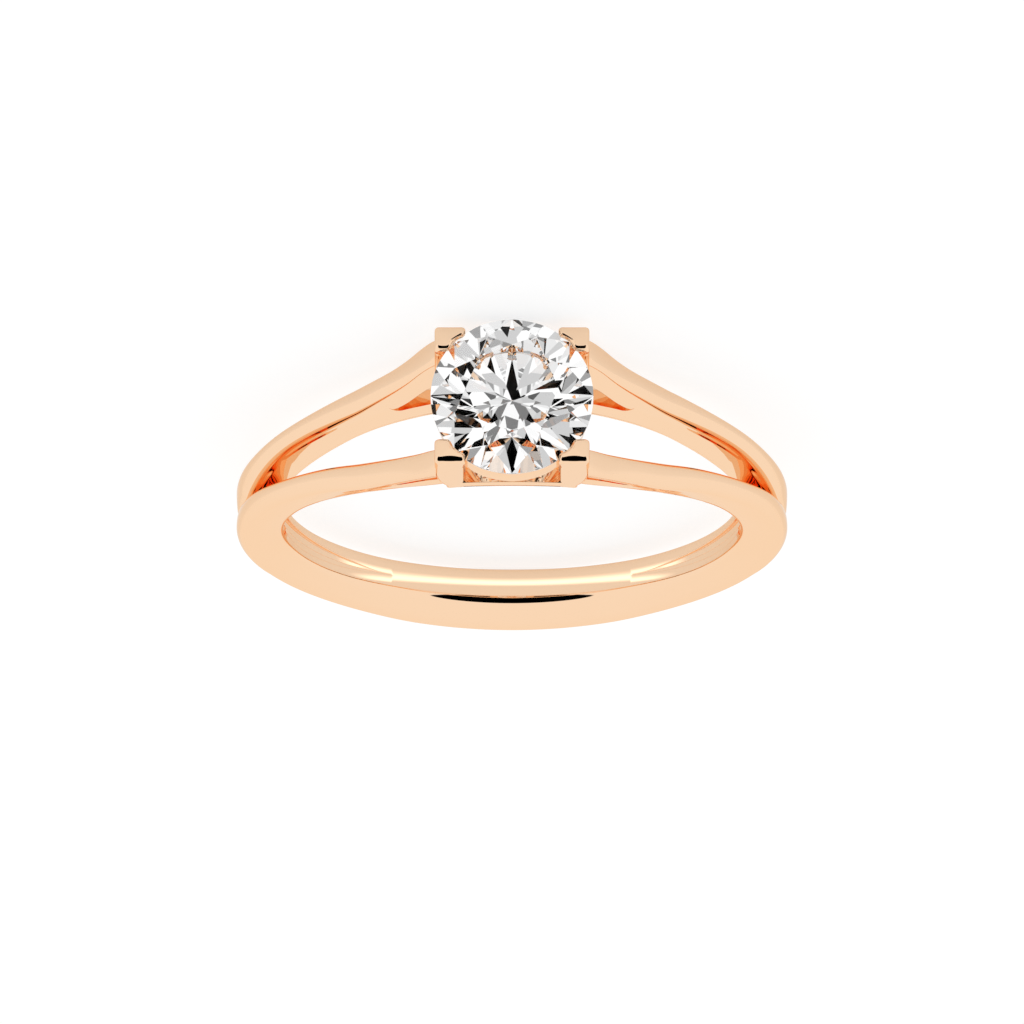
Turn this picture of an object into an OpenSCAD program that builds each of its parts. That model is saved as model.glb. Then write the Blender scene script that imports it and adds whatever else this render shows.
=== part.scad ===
// Split shank solitaire ring. One cast mount: two slim wires that leave the base of the band as one,
// part at the sides and rise as open arms to four corner prongs, with a round gallery under the stone.
// The ring lies on its side as it rests by itself, on the edge of the stone and the side of the band.

/* [Finger hole] */
// Inner diameter of the ring, US size 6
finger_d = 16.5; // [14:0.1:22]

/* [Shank] */
// Thickness of the shank from the finger hole to the crest of its outer face
shank_t = 1.7; // [1.3:0.05:2.4]
// Width of the inner flat at the base of the shank
flat_w = 1.27; // [0.9:0.01:1.6]
// Widest width of the shank at its base
base_w = 2.36; // [2.1:0.02:3]
// Width of the shank at its waist, where it is narrowest
waist_w = 1.82; // [1.6:0.02:2.1]

/* [Split] */
// Gap between the two lower rails under the head
rail_gap = 2; // [1.4:0.05:2.6]
// Width of one lower rail at the finger hole
rail_w = 0.7; // [0.5:0.02:1]
// Thickness of the lower rails from the finger hole outwards
rail_t = 0.74; // [0.5:0.02:1]
// Height of an arm's crest above the finger hole where it meets its prong
arm_h = 3.6; // [3:0.05:4]
// Distance between the inner top edges of two arms at the prongs
arm_gap = 3.2; // [2.6:0.05:3.4]
// Distance across the outer top edges of two arms at the prongs
arm_w = 5.3; // [4.9:0.05:5.6]
// Height of an arm over its open window, measured towards the stone
arm_t = 1.15; // [0.9:0.05:1.4]

/* [Head] */
// Size of the head across the prongs, along the ring's plane
head_l = 5.52; // [5.2:0.02:6.2]
// Size of the head across the prongs' tops, along the finger
head_w = 5.2; // [4.9:0.02:6]
// Slope of the head's front and back walls
head_slope = 8.8; // [6:0.1:12]
// Height of the prong tips above the finger hole
prong_h = 4.71; // [4.4:0.01:5.4]
// Length of each leg of a prong's corner
leg_l = 1.1; // [0.8:0.05:1.3]
// How far a prong's side turns in at its foot
foot_tuck = 0.45; // [0.2:0.05:0.6]
// Height above the finger hole at which that turn begins
foot_h = 2.7; // [1.5:0.1:3.5]
// How far a prong tip reaches over the edge of the stone
claw = 0.13; // [0.05:0.01:0.25]
// Radius of a prong's outer corner
corner_r = 0.16; // [0.05:0.01:0.3]
// Height of the gallery's lower edge above the finger hole
gallery_h = 2.93; // [2.4:0.01:3.2]
// Outer diameter of the gallery
gallery_d = 5.7; // [5.3:0.02:5.76]
// Wall of the gallery
gallery_t = 0.45; // [0.3:0.01:0.6]

/* [Stone] */
// Diameter of the round brilliant stone
stone_d = 5.8; // [5.78:0.01:6.2]
// Height of the girdle's middle above the finger hole
girdle_h = 4.23; // [4.1:0.01:4.6]
// Thickness of the girdle
girdle_t = 0.13; // [0.06:0.01:0.25]
// Width of the table as a percentage of the stone's diameter
table_pc = 57; // [52:1:64]
// Angle of the crown's main facets
crown_angle = 34.5; // [30:0.5:36]
// Angle of the pavilion's main facets
pavilion_angle = 40.75; // [40:0.25:42]
// Clearance between the stone and the metal
seat_gap = 0.03; // [0.02:0.005:0.06]

/* [Hidden] */

finger_r = finger_d / 2;
stone_r = stone_d / 2;
girdle_n = finger_r + girdle_h;
prong_n = finger_r + prong_h;
gallery_n = finger_r + gallery_h;
rail_r = finger_r + rail_t;
head_u = head_l / 2;
head_f = head_w / 2;
lean = tan(head_slope);

// The stone's levels along its own axis, from the middle of the girdle
table_r = stone_r * table_pc / 100;
crown_z = girdle_t / 2 + (stone_r - table_r) * tan(crown_angle);
culet_z = -girdle_t / 2 - stone_r * tan(pavilion_angle);

// How the wires' section changes round the ring. Angle 0 is the base and 180 the head.
// flat: outer edge of the inner flat, from flat_w / 2 to the lower rail's outer edge.
// gap: half gap at the finger hole, as a share of rail_gap / 2.
// wide: widest outer edge, -1 at base_w / 2, 0 at waist_w / 2 and 1 at arm_w / 2.
// inner: inner top edge, as a share of arm_gap / 2.
// crest: place of the crest, as a share of the way from the middle to the wire's own middle.
// dome: height of the outer side of the dome, as a share of shank_t.
// dip: height of its inner side, down to the valley between the wires, as a share of shank_t.
// groove: depth of the shallow groove on the finger side, and of the bend in the wires' inner side
// where they are apart, as a share of shank_t.
// rise: height over shank_t, as a share of the arm's own rise.
ANGLE = 0;
FLAT = 1;
GAP = 2;
WIDE = 3;
INNER = 4;
CREST = 5;
DOME = 6;
DIP = 7;
GROOVE = 8;
RISE = 9;
wire_shape = [
    [0, 0, 0.06, -1, 0.02, 0.1, 0.13, 0.01, -0.2, 0],
    [20, 0, 0.06, -0.78, 0.02, 0.12, 0.13, 0.01, -0.12, 0],
    [34, 0, 0.06, -0.37, 0.02, 0.2, 0.13, 0.01, -0.03, 0],
    [45, 0, 0.15, -0.16, 0.02, 0.4, 0.13, 0.01, 0.04, 0],
    [64, 0, 0.3, 0, 0.02, 0.7, 0.14, 0.02, 0.06, 0],
    [75, 0.03, 0.32, 0.03, 0.02, 0.95, 0.15, 0.03, 0.065, 0],
    [90, 0.18, 0.36, 0.08, 0.025, 1.2, 0.18, 0.06, 0.08, 0],
    [100, 0.31, 0.38, 0.11, 0.06, 1.1, 0.22, 0.26, 0.14, 0],
    [110, 0.43, 0.4, 0.15, 0.17, 1, 0.3, 0.32, 0.6, 0],
    [120, 0.54, 0.45, 0.23, 0.3, 1, 0.34, 0.35, 0.6, 0],
    [130, 0.67, 0.58, 0.33, 0.4, 1, 0.33, 0.35, 0.6, 0],
    [138, 0.77, 0.73, 0.44, 0.48, 1, 0.28, 0.32, 0.6, 0],
    [146, 0.86, 0.85, 0.57, 0.6, 1, 0.22, 0.24, 0.6, 0.02],
    [155, 0.96, 0.95, 0.68, 0.76, 1, 0.16, 0.18, 0.64, 0.26],
    [160, 1, 1, 0.78, 0.86, 1, 0.13, 0.15, 0.8, 0.5],
    [163, 1, 1, 0.88, 0.94, 1, 0.11, 0.13, 1.04, 0.72],
    [166.5, 1, 1, 1, 1, 1, 0.1, 0.12, 1.35, 1],
];
// The wires are joined up to this angle and apart from there to the head
split_angle = 100;
window_angle = 157.3;
// The arms end just inside the prongs' outer sides, and the lower rails go on under the head
arm_end_u = head_u - 0.04;
arm_end = 180 - asin(arm_end_u / (finger_r + arm_h));
rail_start_u = arm_end_u - 0.06;
rail_start = 180 - asin(rail_start_u / rail_r);
// Stations round half of the ring: angle, how upright the section stands, place of an upright one
fan_from = 148;
half_turn = [
    for (a = [0:5:140]) [a, 0, 0],
    for (a = [142:3:163]) [a, max(0, (a - fan_from) / (arm_end - fan_from)), crest_r(a) * sin(a)],
    [arm_end, 1, arm_end_u],
    [rail_start, 1, rail_start_u],
    for (a = [166:4.667:181]) [a, 0, 0]
];
RAILS = len(half_turn) - 5;
half_count = len(half_turn) - 1;
turn = concat(half_turn, [for (i = [half_count - 1:-1:1]) half_turn[i]]);

// Smooth value of one column at an angle, by a cubic through the rows
function row_before(a, i = 0) =
    i + 2 >= len(wire_shape) || wire_shape[i + 1][ANGLE] > a ? i : row_before(a, i + 1);
function slope_at(i, col) =
    let (lo = max(i - 1, 0), hi = min(i + 1, len(wire_shape) - 1))
    (wire_shape[hi][col] - wire_shape[lo][col]) / (wire_shape[hi][ANGLE] - wire_shape[lo][ANGLE]);
function shape_at(a, col) =
    let (
        i = row_before(a),
        step = wire_shape[i + 1][ANGLE] - wire_shape[i][ANGLE],
        t = (a - wire_shape[i][ANGLE]) / step,
        p = wire_shape[i][col],
        q = wire_shape[i + 1][col],
        dp = slope_at(i, col) * step,
        dq = slope_at(i + 1, col) * step
    )
    p + dp * t + (3 * (q - p) - 2 * dp - dq) * t * t + (2 * (p - q) + dp + dq) * t * t * t;

// Radius of the crest at an angle
function crest_r(a) = finger_r + shank_t + shape_at(a, RISE) * (arm_h - shank_t);

// One wire's section as [place along the finger, radius], from the finger hole's outer edge up the
// side past the lower rail's top, over the dome to the slot and back to the finger hole
bore_spare = 0.5;
function dome_section(flat, knee, gap, wide, inner, crest, top, dome, dip, groove) =
    let (side = (knee - flat) / rail_t)
    [
        [flat - side * bore_spare, finger_r - bore_spare],
        [knee, rail_r],
        [wide, top - dome],
        for (t = [35, 65]) [crest + (wide - crest) * cos(t), top - dome * (1 - sin(t))],
        [crest, top],
        for (t = [65, 35, 0]) [crest + (inner - crest) * cos(t), top - dip * (1 - sin(t))],
        groove,
        [gap, finger_r - bore_spare],
    ];
function wire_section(a) =
    let (
        rail_out = rail_gap / 2 + rail_w,
        flat = flat_w / 2 + shape_at(a, FLAT) * (rail_out - flat_w / 2),
        gap = rail_gap / 2 * shape_at(a, GAP),
        w = shape_at(a, WIDE),
        wide = waist_w / 2 + (w < 0 ? -w * (base_w - waist_w) / 2 : w * (arm_w - waist_w) / 2),
        inner = arm_gap / 2 * shape_at(a, INNER),
        top = crest_r(a),
        dome = shank_t * shape_at(a, DOME),
        knee_share = rail_t / (top - dome - finger_r) * max(0, 1 - 2 * shape_at(a, RISE)),
        crest = (inner + wide) / 2 * shape_at(a, CREST),
        share = 0.5 - 0.2 * shape_at(a, RISE),
        groove = [a > split_angle ? gap + (inner - gap) * share : gap * 0.9,
            finger_r + shank_t * shape_at(a, GROOVE)]
    )
    dome_section(flat, flat + (wide - flat) * knee_share, gap, wide, inner, crest, top, dome,
        shank_t * shape_at(a, DIP), groove);
function rail_section() =
    let (in = rail_gap / 2, out = in + rail_w)
    [
        [out, finger_r - bore_spare],
        for (t = [0.3, 0.6, 0.85]) [out, finger_r + t * rail_t],
        for (t = [0.85, 0.5, 0.15]) [in + t * rail_w, rail_r],
        for (t = [0.85, 0.6, 0.3]) [in, finger_r + t * rail_t],
        [in, finger_r - bore_spare],
    ];

// Both wires as one shell, a ring of points round each wire at every station
SLOT = 8;
POINTS = 11;
function shell_point(i, p, side) =
    let (
        st = turn[i],
        round_u = p[1] * sin(st[0]),
        u = round_u + st[1] * (st[2] - round_u),
        n = st[1] > 0 ? sqrt(p[1] * p[1] - u * u) : -p[1] * cos(st[0])
    )
    [i > half_count ? -u : u, -n, side * p[0]];
shell_points = [
    for (i = [0:len(turn) - 1])
        let (
            from_base = i > half_count ? 2 * half_count - i : i,
            section = from_base >= RAILS ? rail_section() : wire_section(turn[i][0])
        )
        for (side = [1, -1]) for (p = section) shell_point(i, p, side)
];
function pair(p, q, r, s) = [[p, r, q], [p, s, r]];
function joined(i) = turn[i][0] <= split_angle;
module split_wires() {
    count = len(turn);
    strips = [
        for (i = [0:count - 1])
            let (
                k = (i + 1) % count,
                here = i * 2 * POINTS,
                next = k * 2 * POINTS,
                one = joined(i) && joined(k)
            )
            each [
                for (j = [0:POINTS - 1]) if (!(one && j == SLOT))
                    let (m = (j + 1) % POINTS)
                    each concat(
                        pair(here + j, next + j, next + m, here + m),
                        pair(here + POINTS + m, next + POINTS + m, next + POINTS + j, here + POINTS + j)
                    ),
                if (one) each concat(
                    pair(here + SLOT, next + SLOT, next + POINTS + SLOT, here + POINTS + SLOT),
                    pair(here + POINTS + SLOT + 1, next + POINTS + SLOT + 1, next + SLOT + 1, here + SLOT + 1)
                ),
                if (joined(i) != joined(k))
                    let (e = joined(i) ? here : next, q = [e + SLOT, e + SLOT + 1, e + POINTS + SLOT + 1,
                        e + POINTS + SLOT])
                    each joined(i) ? pair(q[0], q[1], q[2], q[3]) : pair(q[3], q[2], q[1], q[0])
            ]
    ];
    polyhedron(shell_points, strips, convexity = 6);
}

// Open window between an arm and the lower rail, cut through along the finger
module arm_window() {
    under = [
        for (a = [window_angle, 159, 161, 163.5, arm_end])
            [crest_r(a) * sin(a), -crest_r(a) * cos(a) - arm_t]
    ];
    last = under[len(under) - 1];
    tip_u = under[0][0];
    rail_top = sqrt(rail_r * rail_r - tip_u * tip_u);
    tip_r = (under[0][1] - rail_top) / 2;
    inside = head_u - 0.35;
    linear_extrude(height = 2 * arm_w, center = true)
        difference() {
            union() {
                polygon([each under, [inside, last[1] + (last[0] - inside) * 1.6],
                    [inside, finger_r - 1], [tip_u, finger_r - 1]]);
                translate([tip_u, rail_top + tip_r]) circle(r = tip_r, $fn = 48);
            }
            circle(r = rail_r + 0.03, $fn = 180);
        }
}

// The head is drawn with its own axis upwards, along the ring's plane in x and the finger in y
module head_frame() {
    rotate([90, 0, 0]) children();
}

// Corner prong: an outline with a square outer corner and a hollow side to the stone, in levels
function arc(x, y, r, from, to, steps) =
    [for (i = [0:steps]) let (a = from + (to - from) * i / steps) [x + r * cos(a), y + r * sin(a)]];
tip_edge = 0.1;
leg_end = 0.15;
function prong_ring(n, inset) =
    let (
        down = prong_n - n,
        turn_in = max(0, min(1.1, (finger_r + foot_h - n) / foot_h)),
        uo = head_u - foot_tuck * turn_in * turn_in - inset,
        fo = head_f - lean * down - inset,
        ui = head_u - leg_l + inset,
        fi = head_f - leg_l - lean * down + inset,
        hollow = stone_r - claw - lean * down + inset,
        round_r = corner_r + 0.2 * turn_in,
        from = asin(min(1, fi / hollow)),
        to = acos(min(1, ui / hollow))
    )
    concat(
        arc(uo - leg_end, fi + leg_end, leg_end, -90, 0, 2),
        arc(uo - round_r, fo - round_r, round_r, 0, 90, 4),
        arc(ui + leg_end, fo - leg_end, leg_end, 90, 180, 2),
        arc(0, 0, hollow, to, from, 5)
    );
CORNER = 5;
module corner_prong() {
    levels = [-0.7, 0.1, 0.9, 1.8, foot_h, (foot_h + prong_h) / 2, prong_h - tip_edge];
    rings = [for (h = levels) prong_ring(finger_r + h, 0), prong_ring(prong_n, tip_edge)];
    heights = concat(levels, [prong_h]);
    count = len(rings[0]);
    top = (len(rings) - 1) * count;
    points = [for (i = [0:len(rings) - 1]) for (p = rings[i]) [p[0], p[1], finger_r + heights[i]]];
    walls = [
        for (i = [0:len(rings) - 2]) for (j = [0:count - 1])
            let (k = (j + 1) % count)
            each pair(i * count + k, (i + 1) * count + k, (i + 1) * count + j, i * count + j)
    ];
    caps = [
        for (j = [1:count - 2])
            let (p = (CORNER + j) % count, q = (CORNER + j + 1) % count)
            each [[CORNER, p, q], [top + CORNER, top + q, top + p]]
    ];
    polyhedron(points, concat(walls, caps), convexity = 4);
}

// Bars under the head that close the two rails into a frame
function wall_f(n) = head_f - lean * (prong_n - n) - 0.05;
module base_frame() {
    low = finger_r - 0.6;
    foot_u = head_u - foot_tuck;
    intersection() {
        cylinder(r = rail_r - 0.03, h = 2 * head_w, center = true, $fn = 180);
        head_frame() union() {
            for (side = [0, 1]) mirror([0, side, 0])
                rotate([90, 0, 90]) translate([0, 0, -foot_u + 0.55])
                    linear_extrude(height = 2 * foot_u - 1.1)
                        polygon([[rail_gap / 2, low], [wall_f(low), low], [wall_f(rail_r), rail_r],
                            [rail_gap / 2, rail_r]]);
            for (side = [0, 1]) mirror([side, 0, 0])
                translate([foot_u - rail_w, -rail_gap / 2 - 0.2, low])
                    cube([rail_w - 0.05, rail_gap + 0.4, rail_r - low]);
        }
    }
}

// Round gallery under the girdle
module gallery() {
    out = gallery_d / 2;
    top = girdle_n - girdle_t / 2 - 0.1;
    rotate_extrude($fn = 96)
        polygon([[out - gallery_t, top], [out - gallery_t - 0.1, gallery_n], [out - 0.1, gallery_n],
            [out, top]]);
}

// Space that the stone needs, with its clearance
module stone_space() {
    edge_r = stone_r + seat_gap;
    half = girdle_t / 2 + seat_gap / 2;
    translate([0, 0, girdle_n]) rotate_extrude($fn = 96)
        polygon([
            [0, -half - edge_r * tan(pavilion_angle)],
            [edge_r, -half],
            [edge_r, half],
            [table_r, half + (edge_r - table_r) * tan(crown_angle)],
            [0, half + (edge_r - table_r) * tan(crown_angle)]
        ]);
}

module mount_metal() {
    difference() {
        union() {
            difference() {
                split_wires();
                for (side = [0, 1]) mirror([side, 0, 0]) rotate([180, 0, 0]) arm_window();
            }
            base_frame();
            head_frame() union() {
                for (side = [0, 1], end = [0, 1]) mirror([side, 0, 0]) mirror([0, end, 0]) corner_prong();
                gallery();
            }
        }
        rotate([0, 0, -90]) cylinder(r = finger_r, h = 2 * head_w, center = true, $fn = 180);
        head_frame() stone_space();
    }
}

// Round brilliant: table, 8 stars, 8 kites and 16 upper halves over a girdle, 8 mains and 16 lower halves
module brilliant() {
    star_r = (table_r * cos(22.5) + stone_r) / 2;
    star_z = girdle_t / 2 + (stone_r - star_r * cos(22.5)) * tan(crown_angle);
    low_r = stone_r * 0.23;
    low_z = -girdle_t / 2 - (stone_r - low_r * cos(22.5)) * tan(pavilion_angle);
    chord = stone_r * cos(11.25);
    crown_dip = (stone_r - chord) * (star_z - girdle_t / 2) / (chord - star_r * cos(11.25));
    low_dip = (stone_r - chord) * (-girdle_t / 2 - low_z) / (chord - low_r * cos(11.25));
    function ring(r, z, count, start) =
        [for (i = [0:count - 1]) let (a = start + 360 * i / count) [r * cos(a), r * sin(a), z]];
    edge = [for (i = [0:31]) let (a = 11.25 * i, odd = i % 2)
        [stone_r * cos(a), stone_r * sin(a), girdle_t / 2 - odd * crown_dip]];
    foot = [for (i = [0:31]) let (a = 11.25 * i, odd = i % 2)
        [stone_r * cos(a), stone_r * sin(a), -girdle_t / 2 + odd * low_dip]];
    points = concat(ring(table_r, crown_z, 8, 0), ring(star_r, star_z, 8, 22.5), edge, foot,
        ring(low_r, low_z, 8, 22.5), [[0, 0, culet_z]]);
    T = 0;
    K = 8;
    E = 16;
    F = 48;
    L = 80;
    C = 88;
    faces = [
        [for (i = [7:-1:0]) T + i],
        for (i = [0:7])
            let (n = (i + 1) % 8, p = (i + 7) % 8, g = 4 * i, h = (4 * i + 4) % 32)
            each [
                [T + i, T + n, K + i],
                [T + i, K + i, E + g, K + p],
                [K + i, E + g + 2, E + g + 1, E + g],
                [K + i, E + h, E + g + 3, E + g + 2],
                [C, L + p, F + g, L + i],
                [L + i, F + g, F + g + 1, F + g + 2],
                [L + i, F + g + 2, F + g + 3, F + h]
            ],
        for (i = [0:31]) let (n = (i + 1) % 32) [E + i, E + n, F + n, F + i]
    ];
    polyhedron(points, faces, convexity = 2);
}

// At rest the ring lies on the stone's lower edge and on the side of its base
stone_low_n = girdle_n - girdle_t / 2;
side_r = finger_r + shank_t * (1 - wire_shape[0][DOME]);
rest_tilt = atan((stone_r - base_w / 2) / (stone_low_n + side_r));
lift = stone_r * cos(rest_tilt) - stone_low_n * sin(rest_tilt);
reach = (girdle_n + crown_z) * cos(rest_tilt) + table_r * sin(rest_tilt);
centre_y = (reach - (finger_r + shank_t) * cos(rest_tilt)) / 2;
module laid_down() {
    translate([0, centre_y, lift]) rotate([-rest_tilt, 0, 0]) children();
}

module ring_mount() {
    color([0.9, 0.67, 0.53]) laid_down() mount_metal();
}

module round_stone() {
    color([0.9, 0.95, 1]) laid_down() head_frame() translate([0, 0, girdle_n]) brilliant();
}

ring_mount();
round_stone();
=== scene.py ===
import math

import bmesh
import bpy
import numpy as np
from mathutils import Matrix, Vector


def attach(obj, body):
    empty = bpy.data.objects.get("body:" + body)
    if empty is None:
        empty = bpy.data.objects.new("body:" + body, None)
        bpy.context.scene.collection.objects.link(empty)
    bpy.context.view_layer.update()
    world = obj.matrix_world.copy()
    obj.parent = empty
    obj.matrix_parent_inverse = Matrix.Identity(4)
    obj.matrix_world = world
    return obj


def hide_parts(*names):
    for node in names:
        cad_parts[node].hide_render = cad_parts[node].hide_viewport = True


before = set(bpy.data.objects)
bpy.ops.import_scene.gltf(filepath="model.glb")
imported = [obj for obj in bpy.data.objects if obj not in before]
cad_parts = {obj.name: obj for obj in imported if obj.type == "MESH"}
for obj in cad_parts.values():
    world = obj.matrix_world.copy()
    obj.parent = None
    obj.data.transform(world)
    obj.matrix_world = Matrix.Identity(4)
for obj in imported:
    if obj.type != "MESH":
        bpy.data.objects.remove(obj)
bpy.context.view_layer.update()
print("frame loaded")

# All sizes here are in millimetres, as a goldsmith writes them, and become metres in place(). The four
# dictionaries stand together, because how the ring lies is worked out from all of them
milli = 0.001

# The finger hole and the band that runs round it
band = {
    "holeRadius": 8.25,
    "thick": 1.7,         # finger hole to crest
    "flatWidth": 1.27,    # inner flat at the base
    "baseWidth": 2.36,
    "waistWidth": 1.82,
    "crown": 0.13,        # share of the thickness that the crown takes at the base
    "innerRound": 0.42,   # how far the soft edge between inner flat and side wall reaches
    "kneeRound": 0.3,     # the same where the side wall turns outwards
    "grooveDeep": 0.11,   # shallow groove inside, between the wires
    "grooveFade": 0.25,   # half gap at which the groove has its whole depth
    "grooveRound": 0.03,
    "rimRound": 0.04,     # the groove's rim at the finger hole
    "lipRound": 0.2,
    "creaseRound": 0.02,
}

# The two wires, the arms and the lower rails. Angles run from 0 at the base to 180 at the head
split = {
    "railGap": 2.0,
    "railWide": 0.76,
    "railThick": 0.74,
    "railRound": 0.2,     # soft inner top edge of a rail
    "windowSill": 0.03,   # window's floor over the rail's own thickness
    "armHeight": 3.6,
    "armGap": 3.2,
    "armWidth": 5.3,
    "armThick": 1.5,
    "armDeeper": 0.3,     # more beside the prong
    "deeperFrom": 156,    # where that begins
    "deeperFor": 9,       # and over how many degrees it grows
    "armFlare": 0.14,     # how much wider apart the arms are at the top, for each millimetre of height
    "armTurn": 8,         # degrees over which the arm's inner side turns upright
    "edgeRound": 0.05,
    "partFrom": 98,       # the wires part here, as a narrow wedge
    "partFull": 118,      # and are their whole distance apart here
    "lipOver": 3,         # degrees over which the inner top edges part
    "creaseOut": 0.85,    # the crease in the inner side is at least this share of the top edge's distance
    "middleFrom": 136,    # up to here the section's halves meet at middleHeight
    "middleHeight": 0.8,
    "tipHeight": 1.19,    # the window between arm and rail begins at this height
    "tipAngle": 152.2,    # and at this angle
    "fullAngle": 154.4,   # and has its whole height here
    "shyOfProng": 0.04,   # arms end this far inside the prong's side
}

# Head: corner prongs, gallery ring and the frame at the finger hole
head = {
    "long": 5.52,
    "wide": 5.2,
    "slope": 8.8,         # degrees
    "prongHeight": 4.55,
    "leg": 1.1,           # along the ring's plane
    "legFinger": 0.92,    # along the finger
    "legRound": 0.2,
    "footTuck": 0.45,
    "footHeight": 2.2,
    "footRound": 0.15,    # how much rounder the outer corner is at the foot
    "claw": 0.13,
    "clawBelow": 0.9,     # the claw leans with the wall below this depth
    "stoneClear": 0.02,
    "cornerRound": 0.16,
    "tipRound": 0.2,
    "tipInset": 0.15,     # how far the soft top edge reaches in at the sides
    "frontInset": 0.24,   # at the front
    "hollowInset": 0.16,  # and in the hollow towards the stone
    "frontDent": 0.12,
    "hollowDent": 0.08,
    "dentRound": 0.25,
    "hollowRound": 0.15,
    "topMiddle": 0.55,    # where the flat top's rings close, from the head's sides
    "topRise": 0.012,
    "galleryHeight": 2.93,
    "galleryWide": 5.7,
    "galleryWall": 0.45,
    "galleryTuck": 0.1,   # how far the gallery's lower edge is drawn in
    "galleryClear": 0.03,
    "galleryRound": 0.07,
    "seatRound": 0.03,
    "barReach": 12,       # degrees of the frame's bars to each side of the head's middle
    "barRise": 0.035,     # above the rails
    "barShy": 0.004,      # so that no two faces lie in one plane
    "barRounds": (0.04, 0.05, 0.02, 0.06),   # soft edges, from the inner lower one round
    "crossLow": 0.03,     # the bars across stay this far below the rails' top
    "crossShy": 0.05,     # and this far inside the prongs' feet
    "crossInto": 0.2,     # and reach this far into the rails
    "crossRounds": (0.05, 0.1, 0.1, 0.05),
}

# Round brilliant
stone = {
    "across": 5.8,
    "girdleHeight": 4.23,
    "girdle": 0.13,
    "table": 57,          # per cent of the diameter
    "crown": 34.5,        # degrees
    "pavilion": 40.75,    # degrees
    "lowerHalf": 0.23,    # where the lower halves end, as a share of the radius
}

holeR = band["holeRadius"]
railR = holeR + split["railThick"]
stoneR = stone["across"] / 2
girdleN = holeR + stone["girdleHeight"]
prongN = holeR + head["prongHeight"]
lean = math.tan(math.radians(head["slope"]))
tableR = stoneR * stone["table"] / 100
crownZ = stone["girdle"] / 2 + (stoneR - tableR) * math.tan(math.radians(stone["crown"]))

# The ring lies on the lower edge of its stone and on the side of its base
stoneLow = girdleN - stone["girdle"] / 2
sideR = holeR + band["thick"] * (1 - band["crown"])
restTilt = math.atan((stoneR - band["baseWidth"] / 2) / (stoneLow + sideR))
lift = stoneR * math.cos(restTilt) - stoneLow * math.sin(restTilt)
reach = (girdleN + crownZ) * math.cos(restTilt) + tableR * math.sin(restTilt)
centreY = (reach - (holeR + band["thick"]) * math.cos(restTilt)) / 2


def place(u, n, f):
    # Ring's own place (u across, n from base to head, f along the finger) to the lying frame, in metres:
    # x = u, y = -n cos t + f sin t + centre, z = n sin t + f cos t + lift
    u, n, f = np.broadcast_arrays(u, n, f)
    c, s = math.cos(restTilt), math.sin(restTilt)
    return np.stack([u, -n * c + f * s + centreY, n * s + f * c + lift], axis=-1) * milli


def softStep(t):
    # From 0 to 1 with level ends: 3 t^2 - 2 t^3, held outside 0 to 1
    t = np.clip(t, 0, 1)
    return t * t * (3 - 2 * t)


def gridFaces(rows, cols, start=0, closeCols=False):
    # Quads between neighbouring points of a rows by cols grid
    i = np.arange(rows - 1)[:, None]
    j = np.arange(cols if closeCols else cols - 1)[None, :]
    j2 = (j + 1) % cols
    corners = (i * cols + j, (i + 1) * cols + j, (i + 1) * cols + j2, i * cols + j2)
    return np.stack(np.broadcast_arrays(*corners), axis=-1).reshape(-1, 4) + start


weldReach = 2e-8   # metres, within which two points of a mesh are one
sharpFrom = 38     # degrees between two faces, from which their edge looks sharp


def makePiece(name, grids, caps=()):
    # grids: (points, closeCols) as rows of points; caps: loops closed with one flat face each
    verts, faces, count = [], [], 0
    for points, closeCols in grids:
        rows, cols = points.shape[:2]
        verts.append(points.reshape(-1, 3))
        faces.append(gridFaces(rows, cols, count, closeCols))
        count += rows * cols
    faceList = np.concatenate(faces).tolist()
    for loop in caps:
        verts.append(loop.reshape(-1, 3))
        faceList.append(list(range(count, count + len(loop))))
        count += len(loop)
    mesh = bpy.data.meshes.new(name)
    mesh.from_pydata(np.concatenate(verts).tolist(), [], faceList)
    bm = bmesh.new()
    bm.from_mesh(mesh)
    bmesh.ops.remove_doubles(bm, verts=bm.verts, dist=weldReach)
    bmesh.ops.dissolve_degenerate(bm, dist=weldReach, edges=bm.edges)
    bmesh.ops.recalc_face_normals(bm, faces=bm.faces)
    bm.to_mesh(mesh)
    bm.free()
    mesh.shade_smooth()
    mesh.set_sharp_from_angle(angle=math.radians(sharpFrom))
    piece = bpy.data.objects.new(name, mesh)
    bpy.context.scene.collection.objects.link(piece)
    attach(piece, "root")
    return piece


def joinPieces(name, pieces):
    # Several meshes of one casting as one piece
    bpy.ops.object.select_all(action="DESELECT")
    for piece in pieces:
        piece.select_set(True)
    bpy.context.view_layer.objects.active = pieces[0]
    bpy.ops.object.join()
    pieces[0].name = name
    return pieces[0]


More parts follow.
